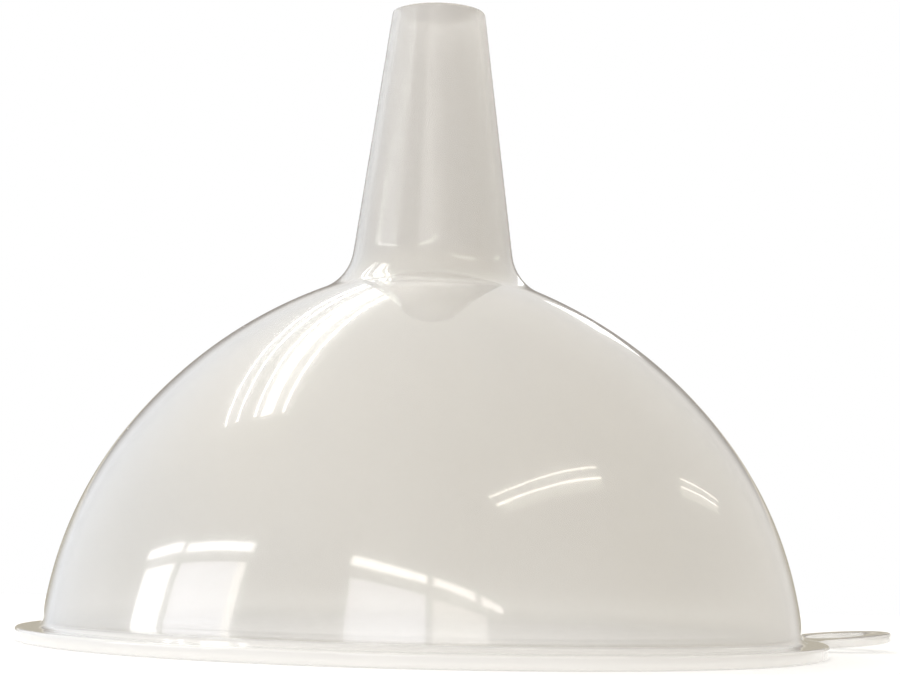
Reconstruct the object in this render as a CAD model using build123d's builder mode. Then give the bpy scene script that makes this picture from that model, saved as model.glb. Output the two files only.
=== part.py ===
from build123d import *
from math import acos, atan2, cos, degrees, radians, sin, sqrt, tan
import os

# A large one-piece funnel, moulded in natural polypropylene, standing mouth down.
# Millimetres. The origin is the centre of the rim face that the funnel stands on, +Z runs
# along the axis towards the stem's tip, and +X points at the hanging loop.
# The moulding is split into its four regions, which meet face to face.

# Driving dimensions
rim_radius = 125.0
height = 201.0
wall = 2.0

# Rim flange: a flat plate, with a lip turned down to the rim face, and rounded into the bowl
flange_top = 4.0
flange_fillet = 2.2
flange_bend = 5.0
lip_width = 2.2
lip_foot_round = 0.8
lip_edge_round = 0.4

# Bowl: a spherical side, and a flatter crown that leaves it at a tangent
bowl_radius = 117.4
bowl_centre_z = -5.5
haunch_angle = 53.0
crown_radius = 140.5

# Stem: a straight taper, joined to the crown by a concave neck
stem_tip_radius = 14.9
stem_half_angle = 7.55
neck_radius = 16.0

# Hanging loop: a flat ring just under the flange's top, tipped up a little towards its end
loop_reach = 14.8
loop_radius = 18.0
loop_hole_radius = 9.5
loop_thickness = 2.8
loop_top_at_rim = 3.6
loop_tilt = 4.9
loop_root_fillet = 8.0
loop_root_depth = 8.0


def polar(centre, radius, angle):
    """The point on a circle at an angle, in degrees from the second axis towards the first."""
    return (centre[0] + radius * sin(radians(angle)), centre[1] + radius * cos(radians(angle)))


def heading(start, end):
    """The angle, in the same sense, at which one point sees another."""
    return degrees(atan2(end[0] - start[0], end[1] - start[1])) % 360


def arc_points(centre, radius, start, end):
    return [polar(centre, radius, angle) for angle in (start, (start + end) / 2, end)]


def wall_band(centre, outer_radius, inner_radius, start, end):
    """Both faces of the wall along one arc of the profile: outside forwards, inside back."""
    outer = ThreePointArc(*arc_points(centre, outer_radius, start, end))
    inner = ThreePointArc(*arc_points(centre, inner_radius, end, start))
    return outer, inner


# Profile of the moulding, as (distance from the axis, height)
bowl_centre = (0.0, bowl_centre_z)
crown_centre = polar(bowl_centre, bowl_radius - crown_radius, haunch_angle)

# The fillet above the flange and the bend below it are each tangent to a face of the bowl
fillet_reach = bowl_radius + flange_fillet
foot_angle = degrees(acos((flange_top + flange_fillet - bowl_centre_z) / fillet_reach))
fillet_centre = polar(bowl_centre, fillet_reach, foot_angle)
bend_reach = bowl_radius - wall + flange_bend
inner_foot_angle = degrees(acos((flange_top - wall + flange_bend - bowl_centre_z) / bend_reach))
bend_centre = polar(bowl_centre, bend_reach, inner_foot_angle)

# The neck's centre lies one neck radius outside both the stem's outer line and the crown
stem_lean = radians(stem_half_angle)
stem_radius_at_crown_centre = stem_tip_radius + (height - crown_centre[1]) * tan(stem_lean)
neck_across = (stem_radius_at_crown_centre - crown_centre[0]) * cos(stem_lean) + neck_radius
neck_along = sqrt((crown_radius + neck_radius) ** 2 - neck_across**2)
neck_centre = (
    crown_centre[0] + neck_across * cos(stem_lean) - neck_along * sin(stem_lean),
    crown_centre[1] + neck_across * sin(stem_lean) + neck_along * cos(stem_lean),
)
neck_angle = heading(crown_centre, neck_centre)
stem_angle = 270 - stem_half_angle
stem_foot_outer = polar(neck_centre, neck_radius, stem_angle)
stem_foot_inner = polar(neck_centre, neck_radius + wall, stem_angle)
stem_tip_inner_radius = stem_tip_radius - wall / cos(stem_lean)

# Bowl: side, crown and neck, cut square to the wall at its foot and at the stem
with BuildPart() as bowl:
    with BuildSketch(Plane.XZ):
        with BuildLine():
            side = ThreePointArc(*arc_points(bowl_centre, bowl_radius, foot_angle, haunch_angle))
            side_inner = ThreePointArc(
                *arc_points(bowl_centre, bowl_radius - wall, haunch_angle, inner_foot_angle)
            )
            crown, crown_inner = wall_band(
                crown_centre, crown_radius, crown_radius - wall, haunch_angle, neck_angle
            )
            neck, neck_inner = wall_band(
                neck_centre, neck_radius, neck_radius + wall, neck_angle + 180, stem_angle
            )
            Line(neck @ 1, neck_inner @ 0)
            Line(side_inner @ 1, side @ 0)
        make_face()
    revolve(axis=Axis.Z)
bowl.part.label = "bowl"

# Stem: an open tapered tube, cut square across at its tip
with BuildPart() as stem:
    with BuildSketch(Plane.XZ):
        with BuildLine():
            Polyline(
                stem_foot_outer,
                (stem_tip_radius, height),
                (stem_tip_inner_radius, height),
                stem_foot_inner,
                close=True,
            )
        make_face()
    revolve(axis=Axis.Z)
stem.part.label = "stem"

# Rim flange: fillet and bend, plate and lip
with BuildPart() as rim_flange:
    with BuildSketch(Plane.XZ):
        with BuildLine():
            flange_fillet_arc = ThreePointArc(
                *arc_points(fillet_centre, flange_fillet, foot_angle + 180, 180)
            )
            bend_arc = ThreePointArc(
                *arc_points(bend_centre, flange_bend, 180, inner_foot_angle + 180)
            )
            Polyline(
                flange_fillet_arc @ 1,
                (rim_radius, flange_top),
                (rim_radius, 0),
                (rim_radius - lip_width, 0),
                (rim_radius - lip_width, flange_top - wall),
                bend_arc @ 0,
            )
            Line(bend_arc @ 1, flange_fillet_arc @ 0)
        make_face()
    revolve(axis=Axis.Z)
    lip_circles = rim_flange.edges().filter_by(GeomType.CIRCLE).group_by(SortBy.RADIUS)[-1]
    fillet(lip_circles.sort_by(Axis.Z)[0], lip_foot_round)
    lip_circles = rim_flange.edges().filter_by(GeomType.CIRCLE).group_by(SortBy.RADIUS)[-1]
    fillet(lip_circles.sort_by(Axis.Z)[-1], lip_edge_round)
rim_flange.part.label = "rim_flange"

# Hanging loop: drawn on its own tipped plane, with the rim's circle centred behind it
tilt = radians(loop_tilt)
loop_plane = Plane(
    origin=(rim_radius, 0, loop_top_at_rim),
    x_dir=(cos(tilt), 0, sin(tilt)),
    z_dir=(-sin(tilt), 0, cos(tilt)),
)
loop_centre = (loop_reach, 0.0)
rim_centre = (-rim_radius, 0.0)
centre_distance = rim_radius + loop_reach
to_rim = rim_radius + loop_root_fillet
to_loop = loop_radius + loop_root_fillet
root_along = (to_rim**2 - to_loop**2 + centre_distance**2) / (2 * centre_distance)
root_centre = (root_along - rim_radius, sqrt(to_rim**2 - root_along**2))
root_arc = arc_points(
    root_centre, loop_root_fillet, heading(root_centre, rim_centre), heading(root_centre, loop_centre)
)
rim_end = root_arc[0]
loop_end = root_arc[-1]

with BuildPart() as hanging_loop:
    with BuildSketch(loop_plane):
        with BuildLine():
            for across in (1, -1):
                ThreePointArc(*[(x, across * y) for x, y in root_arc])
            ThreePointArc(loop_end, (loop_reach + loop_radius, 0), (loop_end[0], -loop_end[1]))
            Polyline(
                rim_end,
                (-loop_root_depth, rim_end[1]),
                (-loop_root_depth, -rim_end[1]),
                (rim_end[0], -rim_end[1]),
            )
        make_face()
        with Locations(loop_centre):
            Circle(loop_hole_radius, mode=Mode.SUBTRACT)
    extrude(amount=-loop_thickness)
    Cylinder(rim_radius, 4 * flange_top, mode=Mode.SUBTRACT)
hanging_loop.part.label = "hanging_loop"

os.makedirs("parts", exist_ok=True)
export_step(bowl.part, "parts/bowl.step")
export_step(stem.part, "parts/stem.step")
export_step(rim_flange.part, "parts/rim_flange.step")
export_step(hanging_loop.part, "parts/hanging_loop.step")
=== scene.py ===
from math import acos, atan2, cos, pi, radians, sin, sqrt, tan

import bpy
from mathutils import Matrix, Vector, noise


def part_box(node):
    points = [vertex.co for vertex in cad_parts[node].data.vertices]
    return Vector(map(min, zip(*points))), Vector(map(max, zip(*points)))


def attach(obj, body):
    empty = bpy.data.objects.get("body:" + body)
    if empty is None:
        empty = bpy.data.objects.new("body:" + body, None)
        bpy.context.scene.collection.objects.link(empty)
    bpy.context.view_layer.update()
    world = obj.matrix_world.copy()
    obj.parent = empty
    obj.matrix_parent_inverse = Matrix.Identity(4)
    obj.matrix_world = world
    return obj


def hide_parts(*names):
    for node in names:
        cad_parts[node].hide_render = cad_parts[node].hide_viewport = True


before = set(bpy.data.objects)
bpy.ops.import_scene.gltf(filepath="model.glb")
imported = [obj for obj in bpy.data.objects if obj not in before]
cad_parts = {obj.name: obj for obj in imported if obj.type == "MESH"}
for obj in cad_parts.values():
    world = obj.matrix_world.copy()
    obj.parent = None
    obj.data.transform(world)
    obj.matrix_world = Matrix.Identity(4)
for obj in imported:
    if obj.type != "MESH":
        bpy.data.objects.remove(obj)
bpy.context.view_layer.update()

# A one-piece funnel in natural polypropylene, standing mouth down on a pale studio floor.
# Metres, in the CAD model's frame: +Z up the axis to the stem's tip, +X towards the hanging loop.
MM = 0.001

# ---------------------------------------------------------------- sizes
# The rim and the height come from the frame, and the rest repeats the CAD model's dimensions.
# The rim and the loop are drawn about 0.1 mm smaller, to stay inside the CAD model.
box_margin = 0.1 * MM
rim_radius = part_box("rim_flange")[1].y - box_margin
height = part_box("stem")[1].z
wall = 2.0 * MM
flange_top = 4.0 * MM
flange_fillet = 2.2 * MM
flange_bend = 5.0 * MM
lip_width = 2.2 * MM
bowl_radius = 117.4 * MM
bowl_centre = (0.0, -5.5 * MM)
haunch = radians(53.0)
crown_radius = 140.5 * MM
stem_tip_radius = 14.9 * MM
stem_lean = radians(7.55)
neck_radius = 16.0 * MM
edge_round = 0.45 * MM
foot_round = 0.8 * MM
lip_round = 0.9 * MM

loop_reach = 14.8 * MM
loop_radius = 17.9 * MM
loop_hole_radius = 9.5 * MM
loop_thickness = 2.7 * MM
loop_top_at_rim = 3.55 * MM
loop_tilt = radians(4.9)
loop_root_fillet = 8.0 * MM
loop_root_depth = 6.0 * MM
loop_edge_round = 0.5 * MM

# ---------------------------------------------------------------- mesh density
LATHE_STEPS = 320
HOLE_STEPS = 96
LOOP_EDGE_STEPS = 3
FACET = 1.6 * MM
FEWEST_ARC_STEPS = 5
SAME_POINT = 0.01 * MM
SHARP_ANGLE = radians(35)

# ---------------------------------------------------------------- waviness of the moulding
# How far the faces wander, how many waves there are to the metre, the heights that the waves keep
# between, and how much of the height counts in the direction that the faces wander in
WAVE_DEPTH, WAVES = 0.10 * MM, 22
RIPPLE_DEPTH, RIPPLES = 0.02 * MM, 70
EVEN_BELOW = 2 * flange_top
EVEN_ABOVE = height - 6 * MM
WAVE_FADE = 10 * MM
WAVE_RISE = 0.8

# ---------------------------------------------------------------- plastic
PLASTIC_IOR = 1.49
COAT_ROUGHNESS = 0.03
TINT_CLEAR = (0.93, 0.922, 0.905, 1)
TINT_MILKY = (0.975, 0.96, 0.93, 1)

# Noise patterns, as grains to the metre and detail. Scuffs are drawn out along the height.
STREAKS = (5.0, 2.0)
CLOUDS = (28.0, 3.0)
SCUFFS = (260.0, 6.0, (1.0, 1.0, 0.25))

# The polish of the bowl ends on the way up the neck, between these two heights
POLISH_END, DULL_START = 112 * MM, 130 * MM
BOWL_ROUGHNESS, STEM_ROUGHNESS = 0.09, 0.17
SCUFF_ROUGHNESS, CLOUD_ROUGHNESS = 0.04, 0.03
BOWL_COAT, STEM_COAT = 1.0, 0.03

# The rim and the loop are milkier than the thin wall above them
RIM_CLARITY, WALL_CLARITY, STREAK_CLARITY = 0.30, 0.76, 0.04
SCUFF_BUMP, SCUFF_DEPTH = 0.05, 0.1 * MM

# ---------------------------------------------------------------- camera
CAMERA_AZIMUTH = radians(-14.0)
CAMERA_DISTANCE = 0.6495
CAMERA_HEIGHT = 0.0317
CAMERA_PAN = radians(0.54)
CAMERA_PITCH = radians(5.71)
CAMERA_ROLL = radians(1.435)
CAMERA_LENS = 82.5
CAMERA_SENSOR = 36
CAMERA_NEAR = 0.01

# ---------------------------------------------------------------- lights
# The studio is laid out as the camera sees it, x to the right and y away from it.
STUDIO = Matrix.Rotation(CAMERA_AZIMUTH, 4, "Z")

WHITE = (1.0, 1.0, 1.0)
SKY = (0.90, 0.91, 1.0)
CREAM = (1.0, 0.97, 0.92)
WARM = (1.0, 0.96, 0.88)
IVORY = (1.0, 0.99, 0.92)

# The two window walls, as bearing and distance from the funnel
LEFT_WALL = (radians(-40), 2.50)
RIGHT_WALL = (radians(-33), 2.57)
WINDOW_PANES = [
    # name, wall, from, to along the wall, sill, head, brightness, colour
    ("left_strip_1", LEFT_WALL, -3.45, -2.22, 1.42, 1.58, 5.0, WHITE),
    ("left_strip_2", LEFT_WALL, -2.10, -0.70, 1.39, 1.54, 5.0, WHITE),
    ("left_pane_1", LEFT_WALL, -3.30, -2.23, 0.40, 1.25, 3.4, WHITE),
    ("left_pane_2", LEFT_WALL, -2.05, -0.86, 0.40, 1.22, 2.2, SKY),
    ("left_pane_3", LEFT_WALL, -0.86, -0.72, 0.40, 1.22, 3.0, CREAM),
    ("right_strip_1", RIGHT_WALL, 0.47, 1.72, 1.44, 1.60, 5.0, CREAM),
    ("right_strip_2", RIGHT_WALL, 1.85, 2.88, 1.44, 1.60, 4.5, CREAM),
    ("right_strip_3", RIGHT_WALL, 3.05, 3.83, 1.44, 1.60, 4.0, CREAM),
    ("right_pane_1", RIGHT_WALL, 0.49, 1.71, 0.40, 1.24, 1.8, SKY),
    ("right_pane_2", RIGHT_WALL, 1.84, 3.20, 0.40, 1.22, 1.4, CREAM),
]

# The ceiling's height, and how far each row of lights is turned from the camera's direction
CEILING = 2.3
LEFT_ROW, RIGHT_ROW = radians(30.0), radians(38.0)
CEILING_STRIPS = [
    # name, row, offset to the right, from, to along the row, width, brightness, colour
    ("row_l_1", LEFT_ROW, -2.10, -0.47, 3.0, 0.03, 8, WHITE),
    ("row_l_2", LEFT_ROW, -1.905, -0.49, 3.0, 0.03, 8, WHITE),
    ("row_l_3", LEFT_ROW, -1.635, -0.54, 3.0, 0.03, 8, WHITE),
    ("row_l_4", LEFT_ROW, -1.46, -0.58, 3.0, 0.16, 4.5, IVORY),
    ("row_l_5", LEFT_ROW, -1.235, -0.60, 3.0, 0.035, 8, WHITE),
    ("row_r_1_near", RIGHT_ROW, 1.79, -0.93, 0.87, 0.03, 8, WARM),
    ("row_r_2_near", RIGHT_ROW, 1.98, -0.93, 0.87, 0.04, 8, WARM),
    ("row_r_3_near", RIGHT_ROW, 2.12, -0.93, 0.87, 0.20, 0.6, WARM),
    ("row_r_1_far", RIGHT_ROW, 1.79, 2.85, 4.60, 0.03, 5, WARM),
    ("row_r_2_far", RIGHT_ROW, 1.98, 2.85, 4.60, 0.04, 5, WARM),
    ("row_r_3_far", RIGHT_ROW, 2.12, 2.85, 4.60, 0.20, 0.6, WARM),
]

SHOULDER_LIGHT_AZIMUTH, SHOULDER_LIGHT_ELEVATION = radians(165), radians(22)
SHOULDER_LIGHT_DISTANCE = 3.0
SHOULDER_LIGHT_WIDTH, SHOULDER_LIGHT_TALL, SHOULDER_LIGHT_BRIGHTNESS = 0.30, 0.40, 1.5

# ---------------------------------------------------------------- room
ROOM_FRONT = (1.0, 0.98, 0.96)
ROOM_LEFT = (0.95, 0.98, 1.03)
ROOM_RIGHT = (0.81, 0.77, 0.71)
ROOM_BACK_LOW = (0.47, 0.43, 0.35)
ROOM_BACK_STRIP = (0.66, 0.61, 0.52)
ROOM_BACK_BAND = (0.33, 0.30, 0.27)
ROOM_BACK_HIGH = (0.85, 0.82, 0.77)
CEILING_LEFT = (1.30, 1.27, 1.22)
CEILING_RIGHT = (0.78, 0.74, 0.68)

# Where one part of the room gives way to the next, as seen from the funnel along a unit vector:
# by its component to the right
LEFT_TO_RIGHT = (-1.0, 1.0)
# by its component away from the camera
FRONT_TO_SIDES = (-0.95, -0.2)
SIDES_TO_BACK = (0.84, 0.965)
# and by its component up
LOW_TO_STRIP = (0.090, 0.106)
STRIP_TO_BAND = (0.126, 0.142)
BAND_TO_HIGH = (0.29, 0.40)
WALLS_TO_CEILING = (0.35, 0.85)

# ---------------------------------------------------------------- floor
FLOOR_SIDE, FLOOR_FRONT, FLOOR_BACK = 2.5, 2.5, 0.42
FLOOR_COLOUR = (0.62, 0.615, 0.60, 1)
FLOOR_ROUGHNESS = 0.9
FLOOR_SPECULAR = 0.2
FLOOR_GLOW = 0.40


# ---------------------------------------------------------------- profile
def polar(centre, radius, angle):
    """The point on a circle at an angle from the second axis towards the first."""
    return (centre[0] + radius * sin(angle), centre[1] + radius * cos(angle))


def heading(start, end):
    """The angle, in the same sense, at which one point sees another."""
    return atan2(end[0] - start[0], end[1] - start[1]) % (2 * pi)


def arc(centre, radius, start, end):
    """Points along an arc, close enough together to look round."""
    count = max(FEWEST_ARC_STEPS, int(abs(end - start) * radius / FACET) + 1)
    return [polar(centre, radius, start + (end - start) * i / count) for i in range(count + 1)]


def straight(start, end):
    """Points along a straight line, a facet apart."""
    length = sqrt((end[0] - start[0]) ** 2 + (end[1] - start[1]) ** 2)
    count = max(1, int(length / FACET))
    steps = [i / count for i in range(count + 1)]
    return [tuple(a + (b - a) * t for a, b in zip(start, end)) for t in steps]


def drop_repeats(points):
    """The closed outline without the points that fall on the one before."""

    def apart(a, b):
        return abs(a[0] - b[0]) + abs(a[1] - b[1]) > SAME_POINT

    kept = []
    for point in points:
        if not kept or apart(point, kept[-1]):
            kept.append(point)
    return kept if apart(kept[0], kept[-1]) else kept[:-1]


def moulding_profile():
    """The closed outline of the wall, as (distance from the axis, height), outside face first."""
    crown_centre = polar(bowl_centre, bowl_radius - crown_radius, haunch)
    across = stem_tip_radius + (height - crown_centre[1]) * tan(stem_lean) - crown_centre[0]
    across = across * cos(stem_lean) + neck_radius
    along = sqrt((crown_radius + neck_radius) ** 2 - across**2)
    neck_centre = (
        crown_centre[0] + across * cos(stem_lean) - along * sin(stem_lean),
        crown_centre[1] + across * sin(stem_lean) + along * cos(stem_lean),
    )
    neck_angle = heading(crown_centre, neck_centre)
    stem_angle = 1.5 * pi - stem_lean
    tip_inner = stem_tip_radius - wall / cos(stem_lean)
    lip_inner = rim_radius - lip_width
    plate_under = flange_top - wall

    def side(inset, flange_face, foot_radius):
        """One face of the wall, from where it leaves the flange up to the stem."""
        reach = bowl_radius - inset + foot_radius
        foot_angle = acos((flange_face + foot_radius - bowl_centre[1]) / reach)
        foot_centre = polar(bowl_centre, reach, foot_angle)
        points = arc(foot_centre, foot_radius, pi, foot_angle + pi)
        points += arc(bowl_centre, bowl_radius - inset, foot_angle, haunch)
        points += arc(crown_centre, crown_radius - inset, haunch, neck_angle)
        points += arc(neck_centre, neck_radius + inset, neck_angle + pi, stem_angle)
        return points

    outside = side(0, flange_top, flange_fillet)
    inside = side(wall, plate_under, flange_bend)[::-1]
    top_outer = (stem_tip_radius - edge_round, height - edge_round)
    top_inner = (tip_inner + edge_round, height - edge_round)
    points = list(outside)
    points += straight(outside[-1], (stem_tip_radius, height - edge_round))
    points += arc(top_outer, edge_round, pi / 2, 0)
    points += arc(top_inner, edge_round, 0, -pi / 2)
    points += straight((tip_inner, height - edge_round), inside[0])
    points += inside
    points += straight(inside[-1], (lip_inner - edge_round, plate_under))
    points += arc((lip_inner - edge_round, plate_under - edge_round), edge_round, 0, pi / 2)
    points += arc((lip_inner + edge_round, edge_round), edge_round, 1.5 * pi, pi)
    points += arc((rim_radius - foot_round, foot_round), foot_round, pi, pi / 2)
    points += arc((rim_radius - lip_round, flange_top - lip_round), lip_round, pi / 2, 0)
    points += straight((rim_radius - lip_round, flange_top), outside[0])
    return drop_repeats(points)


# ---------------------------------------------------------------- meshes
def new_object(name, vertices, faces):
    mesh = bpy.data.meshes.new(name)
    mesh.from_pydata(vertices, [], faces)
    mesh.update()
    piece = bpy.data.objects.new(name, mesh)
    bpy.context.scene.collection.objects.link(piece)
    return piece


def lathe(name, profile):
    """The closed profile turned about the axis, as one closed mesh."""
    count = len(profile)
    vertices = []
    for step in range(LATHE_STEPS):
        turn = 2 * pi * step / LATHE_STEPS
        vertices += [(r * cos(turn), r * sin(turn), z) for r, z in profile]
    faces = []
    for step in range(LATHE_STEPS):
        here, there = step * count, (step + 1) % LATHE_STEPS * count
        for i in range(count):
            j = (i + 1) % count
            faces.append((here + i, there + i, there + j, here + j))
    return new_object(name, vertices, faces)


def loop_plate(name):
    """The hanging ring as a flat plate with rounded edges, on its tipped plane at the rim."""
    loop_centre = (loop_reach, 0.0)
    distance = rim_radius + loop_reach
    to_rim = rim_radius + loop_root_fillet
    to_loop = loop_radius + loop_root_fillet
    along = (to_rim**2 - to_loop**2 + distance**2) / (2 * distance)
    root_centre = (along - rim_radius, sqrt(to_rim**2 - along**2))
    root = arc(
        root_centre,
        loop_root_fillet,
        heading(root_centre, (-rim_radius, 0.0)),
        heading(root_centre, loop_centre),
    )
    start = heading(loop_centre, root[-1]) - 2 * pi
    end = pi - start
    outline = [(-loop_root_depth, root[0][1])] + root
    outline += arc(loop_centre, loop_radius, start, end)[1:-1]
    outline += [(x, -y) for x, y in root[::-1]] + [(-loop_root_depth, -root[0][1])]
    turns = [2 * pi * i / HOLE_STEPS for i in range(HOLE_STEPS)]
    hole = [polar(loop_centre, loop_hole_radius, turn) for turn in turns]

    curve = bpy.data.curves.new(name, "CURVE")
    curve.dimensions = "2D"
    curve.fill_mode = "BOTH"
    curve.bevel_depth = loop_edge_round
    curve.bevel_resolution = LOOP_EDGE_STEPS
    curve.offset = -loop_edge_round
    curve.extrude = loop_thickness / 2 - loop_edge_round
    for points in (outline, hole):
        spline = curve.splines.new("POLY")
        spline.points.add(len(points) - 1)
        for point, (x, y) in zip(spline.points, points):
            point.co = (x, y, 0, 1)
        spline.use_cyclic_u = True
    drawn = bpy.data.objects.new(name, curve)
    mesh = bpy.data.meshes.new_from_object(drawn)
    bpy.data.objects.remove(drawn)
    place = Matrix.Translation((rim_radius, 0, loop_top_at_rim))
    place = place @ Matrix.Rotation(-loop_tilt, 4, "Y")
    place = place @ Matrix.Translation((0, 0, -loop_thickness / 2))
    mesh.transform(place)
    plate = bpy.data.objects.new(name, mesh)
    bpy.context.scene.collection.objects.link(plate)
    return plate


def merge(body, extra):
    """Joins another closed mesh into body as one closed surface."""
    join = body.modifiers.new("join", "BOOLEAN")
    join.operation = "UNION"
    join.solver = "EXACT"
    join.object = extra
    bpy.context.view_layer.update()
    evaluated = body.evaluated_get(bpy.context.evaluated_depsgraph_get())
    mesh = bpy.data.meshes.new_from_object(evaluated)
    body.modifiers.clear()
    body.data = mesh
    bpy.data.objects.remove(extra)


def make_uneven(piece):
    """The slight waviness of a large thin moulding, inwards from where its faces would be.

    The flange and the stem's tip stay true.
    """
    for vertex in piece.data.vertices:
        place = vertex.co
        fade = min(1.0, max(0.0, (place.z - EVEN_BELOW) / WAVE_FADE))
        fade *= min(1.0, max(0.0, (EVEN_ABOVE - place.z) / WAVE_FADE))
        if not fade:
            continue
        wave = noise.noise(place * WAVES) * WAVE_DEPTH
        wave += noise.noise(place * RIPPLES) * RIPPLE_DEPTH
        rise = max(0.0, place.z - bowl_centre[1]) * WAVE_RISE
        out = Vector((place.x, place.y, rise)).normalized()
        vertex.co = place + out * (wave - WAVE_DEPTH) * fade


# ---------------------------------------------------------------- material
def polypropylene():
    """Natural polypropylene: hazy and clear at once, polished on the bowl and duller up the stem.

    The melt's flow from the stem leaves faint milky streaks, and handling leaves fine scuffs.
    """
    material = bpy.data.materials.new("natural_polypropylene")
    material.use_nodes = True
    nodes, links = material.node_tree.nodes, material.node_tree.links
    shader = nodes["Principled BSDF"]
    shader.inputs["IOR"].default_value = PLASTIC_IOR
    shader.inputs["Coat Roughness"].default_value = COAT_ROUGHNESS
    shader.inputs["Coat IOR"].default_value = PLASTIC_IOR

    place = nodes.new("ShaderNodeTexCoord").outputs["Object"]
    split = nodes.new("ShaderNodeSeparateXYZ")
    links.new(place, split.inputs["Vector"])

    def by_height(low, high, start, end):
        """A value that runs smoothly from start at height low to end at height high."""
        node = nodes.new("ShaderNodeMapRange")
        node.interpolation_type = "SMOOTHSTEP"
        ends = {"From Min": low, "From Max": high, "To Min": start, "To Max": end}
        for name, value in ends.items():
            node.inputs[name].default_value = value
        links.new(split.outputs["Z"], node.inputs["Value"])
        return node.outputs["Result"]

    def grain(vector, scale, detail, stretch=(1, 1, 1)):
        """Noise of so many grains to the metre, stretched along the axes."""
        mapping = nodes.new("ShaderNodeMapping")
        mapping.inputs["Scale"].default_value = stretch
        links.new(vector, mapping.inputs["Vector"])
        node = nodes.new("ShaderNodeTexNoise")
        node.inputs["Scale"].default_value = scale
        node.inputs["Detail"].default_value = detail
        links.new(mapping.outputs["Vector"], node.inputs["Vector"])
        return node.outputs["Fac"]

    def total(*values):
        """The sum of the sockets."""
        result = values[0]
        for value in values[1:]:
            node = nodes.new("ShaderNodeMath")
            node.operation = "ADD"
            links.new(result, node.inputs[0])
            links.new(value, node.inputs[1])
            result = node.outputs["Value"]
        return result

    def times(value, factor):
        """The socket times a plain number."""
        node = nodes.new("ShaderNodeMath")
        node.operation = "MULTIPLY"
        links.new(value, node.inputs[0])
        node.inputs[1].default_value = factor
        return node.outputs["Value"]

    # streaks that run up the wall: noise of the bearing round the axis, hardly of the height
    flat = nodes.new("ShaderNodeCombineXYZ")
    links.new(split.outputs["X"], flat.inputs["X"])
    links.new(split.outputs["Y"], flat.inputs["Y"])
    bearing = nodes.new("ShaderNodeVectorMath")
    bearing.operation = "NORMALIZE"
    links.new(flat.outputs["Vector"], bearing.inputs[0])
    rise = nodes.new("ShaderNodeVectorMath")
    rise.operation = "ADD"
    links.new(bearing.outputs["Vector"], rise.inputs[0])
    links.new(place, rise.inputs[1])
    streaks = grain(rise.outputs["Vector"], *STREAKS)
    clouds = grain(place, *CLOUDS)
    scuffs = grain(place, *SCUFFS)

    tint = nodes.new("ShaderNodeMix")
    tint.data_type = "RGBA"
    tint.inputs["A"].default_value = TINT_CLEAR
    tint.inputs["B"].default_value = TINT_MILKY
    links.new(times(total(streaks, clouds), 0.5), tint.inputs["Factor"])
    links.new(tint.outputs["Result"], shader.inputs["Base Color"])

    rough = by_height(POLISH_END, DULL_START, BOWL_ROUGHNESS, STEM_ROUGHNESS)
    rough = total(rough, times(scuffs, SCUFF_ROUGHNESS), times(clouds, CLOUD_ROUGHNESS))
    links.new(rough, shader.inputs["Roughness"])
    coat = by_height(POLISH_END, DULL_START, BOWL_COAT, STEM_COAT)
    links.new(coat, shader.inputs["Coat Weight"])
    clear = by_height(flange_top, flange_top + flange_fillet, RIM_CLARITY, WALL_CLARITY)
    clear = total(clear, times(streaks, STREAK_CLARITY))
    links.new(clear, shader.inputs["Transmission Weight"])

    bump = nodes.new("ShaderNodeBump")
    bump.inputs["Strength"].default_value = SCUFF_BUMP
    bump.inputs["Distance"].default_value = SCUFF_DEPTH
    links.new(scuffs, bump.inputs["Height"])
    links.new(bump.outputs["Normal"], shader.inputs["Normal"])
    return material


# ---------------------------------------------------------------- studio
def panel(name, centre, facing, width, tall, radiance, colour, roll=0.0):
    """A rectangular light of even brightness, seen in reflections but not by the camera itself."""
    light = bpy.data.lights.new(name, "AREA")
    light.shape = "RECTANGLE"
    light.size, light.size_y = width, tall
    light.energy = radiance * width * tall * pi
    light.color = colour
    lamp = bpy.data.objects.new(name, light)
    turn = Vector(facing).to_track_quat("-Z", "Y").to_matrix().to_4x4()
    lamp.matrix_world = STUDIO @ Matrix.Translation(centre) @ turn @ Matrix.Rotation(roll, 4, "Z")
    lamp.visible_camera = False
    bpy.context.scene.collection.objects.link(lamp)


def window_lights():
    """Two wide windows on the camera's side, each of narrow strips over larger panes."""
    for name, (azimuth, distance), start, end, sill, head, radiance, colour in WINDOW_PANES:
        out = Vector((sin(azimuth), -cos(azimuth), 0))
        along = Vector((cos(azimuth), sin(azimuth), 0))
        centre = out * distance + along * (start + end) / 2 + Vector((0, 0, (sill + head) / 2))
        panel(name, centre, -out, end - start, head - sill, radiance, colour)


def ceiling_lights():
    """Bare tubes and louvred fittings in two rows, which draw the curved highlights."""
    for name, turn, offset, start, end, wide, radiance, colour in CEILING_STRIPS:
        run = Vector((sin(turn), cos(turn), 0))
        side = Vector((cos(turn), -sin(turn), 0))
        centre = side * offset + run * (start + end) / 2 + Vector((0, 0, CEILING))
        panel(name, centre, (0, 0, -1), wide, end - start, radiance, colour, roll=-turn)


def shoulder_light():
    """A small light high behind the funnel, which edges its right shoulder."""
    azimuth, elevation = SHOULDER_LIGHT_AZIMUTH, SHOULDER_LIGHT_ELEVATION
    level = cos(elevation)
    towards = Vector((sin(azimuth) * level, -cos(azimuth) * level, sin(elevation)))
    panel(
        "back_right",
        towards * SHOULDER_LIGHT_DISTANCE + Vector((0, 0, height / 2)),
        -towards,
        SHOULDER_LIGHT_WIDTH,
        SHOULDER_LIGHT_TALL,
        SHOULDER_LIGHT_BRIGHTNESS,
        WHITE,
    )


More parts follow.
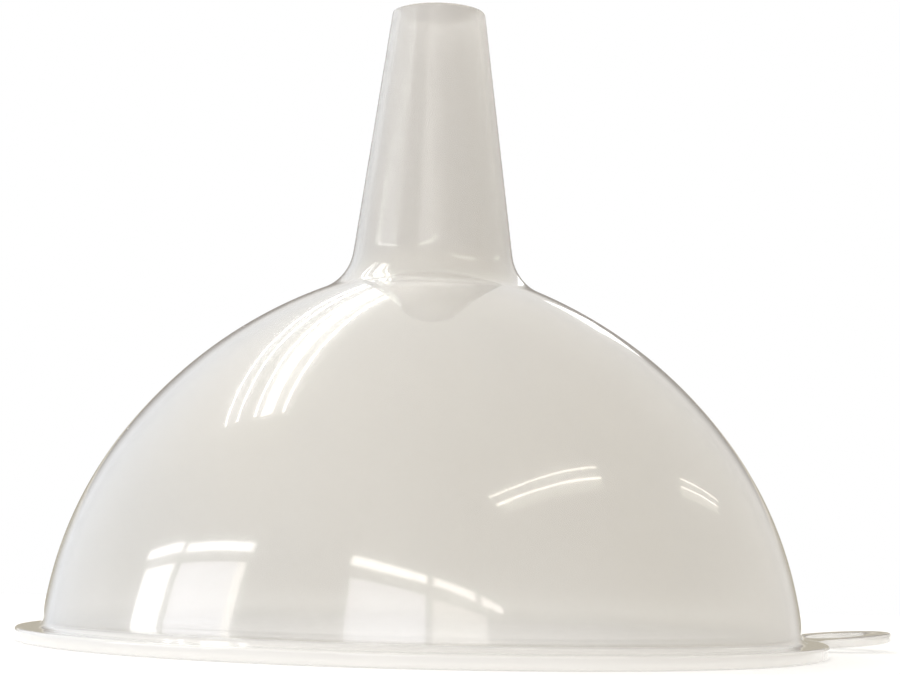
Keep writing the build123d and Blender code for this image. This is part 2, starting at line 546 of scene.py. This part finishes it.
def make_camera():
    data = bpy.data.cameras.new("camera")
    data.sensor_width = CAMERA_SENSOR
    data.lens = CAMERA_LENS
    data.clip_start = CAMERA_NEAR
    camera = bpy.data.objects.new("camera", data)
    a = CAMERA_AZIMUTH
    place = Vector((sin(a) * CAMERA_DISTANCE, -cos(a) * CAMERA_DISTANCE, CAMERA_HEIGHT))
    turn = Matrix.Rotation(a - CAMERA_PAN, 4, "Z")
    turn = turn @ Matrix.Rotation(pi / 2 + CAMERA_PITCH, 4, "X")
    turn = turn @ Matrix.Rotation(CAMERA_ROLL, 4, "Z")
    camera.matrix_world = Matrix.Translation(place) @ turn
    bpy.context.scene.collection.objects.link(camera)
    bpy.context.scene.camera = camera


def make_world():
    """White behind the funnel for the camera; a room around it for the light.

    The room is cool on the left, warm on the right and pale overhead. Its back wall is dim, with a
    lighter strip and a darker band low down, which are seen through the plastic.
    """
    world = bpy.data.worlds.new("studio")
    world.use_nodes = True
    bpy.context.scene.world = world
    nodes, links = world.node_tree.nodes, world.node_tree.links

    def ramp(value, span):
        """0 below the span of values and 1 above it, with a smooth run between."""
        node = nodes.new("ShaderNodeMapRange")
        node.interpolation_type = "SMOOTHSTEP"
        node.inputs["From Min"].default_value, node.inputs["From Max"].default_value = span
        links.new(value, node.inputs["Value"])
        return node.outputs["Result"]

    def blend(factor, below, above):
        """A mix of two colours, each a socket or plain."""
        node = nodes.new("ShaderNodeMix")
        node.data_type = "RGBA"
        links.new(factor, node.inputs["Factor"])
        for name, colour in (("A", below), ("B", above)):
            if isinstance(colour, tuple):
                node.inputs[name].default_value = (*colour, 1)
            else:
                links.new(colour, node.inputs[name])
        return node.outputs["Result"]

    place = nodes.new("ShaderNodeTexCoord")
    turn = nodes.new("ShaderNodeVectorRotate")
    turn.rotation_type = "Z_AXIS"
    turn.inputs["Angle"].default_value = -CAMERA_AZIMUTH
    links.new(place.outputs["Generated"], turn.inputs["Vector"])
    split = nodes.new("ShaderNodeSeparateXYZ")
    links.new(turn.outputs["Vector"], split.inputs["Vector"])
    across, away, up = split.outputs["X"], split.outputs["Y"], split.outputs["Z"]

    sideways = ramp(across, LEFT_TO_RIGHT)
    sides = blend(sideways, ROOM_LEFT, ROOM_RIGHT)
    sides = blend(ramp(away, FRONT_TO_SIDES), ROOM_FRONT, sides)
    back = blend(ramp(up, LOW_TO_STRIP), ROOM_BACK_LOW, ROOM_BACK_STRIP)
    back = blend(ramp(up, STRIP_TO_BAND), back, ROOM_BACK_BAND)
    back = blend(ramp(up, BAND_TO_HIGH), back, ROOM_BACK_HIGH)
    walls = blend(ramp(away, SIDES_TO_BACK), sides, back)
    ceiling = blend(sideways, CEILING_LEFT, CEILING_RIGHT)
    room = blend(ramp(up, WALLS_TO_CEILING), walls, ceiling)
    seen = nodes.new("ShaderNodeLightPath")
    colour = blend(seen.outputs["Is Camera Ray"], room, WHITE)
    links.new(colour, nodes["Background"].inputs["Color"])


def make_floor():
    """A pale table top, whose back edge lies a little behind the funnel."""
    corners = [
        (-FLOOR_SIDE, -FLOOR_FRONT, 0),
        (FLOOR_SIDE, -FLOOR_FRONT, 0),
        (FLOOR_SIDE, FLOOR_BACK, 0),
        (-FLOOR_SIDE, FLOOR_BACK, 0),
    ]
    floor = new_object("floor", corners, [(0, 1, 2, 3)])
    floor.data.transform(STUDIO)
    material = bpy.data.materials.new("pale_floor")
    material.use_nodes = True
    shader = material.node_tree.nodes["Principled BSDF"]
    shader.inputs["Base Color"].default_value = FLOOR_COLOUR
    shader.inputs["Roughness"].default_value = FLOOR_ROUGHNESS
    shader.inputs["Specular IOR Level"].default_value = FLOOR_SPECULAR
    shader.inputs["Emission Color"].default_value = (*WHITE, 1)
    shader.inputs["Emission Strength"].default_value = FLOOR_GLOW
    floor.data.materials.append(material)


# ---------------------------------------------------------------- build
funnel = lathe("funnel_moulding", moulding_profile())
merge(funnel, loop_plate("hanging_loop_plate"))
make_uneven(funnel)
funnel.data.materials.clear()
funnel.data.materials.append(polypropylene())
funnel.data.shade_smooth()
funnel.data.set_sharp_from_angle(angle=SHARP_ANGLE)
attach(funnel, "root")
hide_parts("bowl", "stem", "rim_flange", "hanging_loop")

make_world()
make_floor()
window_lights()
ceiling_lights()
shoulder_light()
make_camera()
bpy.context.scene.view_settings.view_transform = "Standard"
